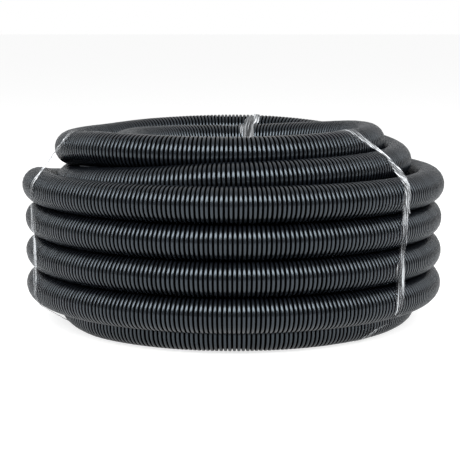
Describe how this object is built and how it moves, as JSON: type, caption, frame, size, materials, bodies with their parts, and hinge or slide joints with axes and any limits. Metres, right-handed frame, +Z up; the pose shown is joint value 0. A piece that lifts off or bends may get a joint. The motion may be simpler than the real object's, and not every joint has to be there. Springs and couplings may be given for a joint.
{
  "type": "corrugated conduit coil",
  "caption": "Tied coil of black corrugated plastic conduit in nested turns, held by bands of clear film and standing with its eye upright.",
  "frame": {"origin": "middle of the coil, at the underside of the bands it rests on", "axes": "+Z up along the coil's axis; the front faces -Y"},
  "size_m": [0.407, 0.4074, 0.1898],
  "materials": {
    "black_plastic": "satin black, ribbed",
    "clear_film": "clear glossy film, wrinkled"
  },
  "bodies": {
    "root": {"conduit": "black_plastic", "band_left": "clear_film", "band_right": "clear_film", "band_back": "clear_film"}
  },
  "joints": []
}
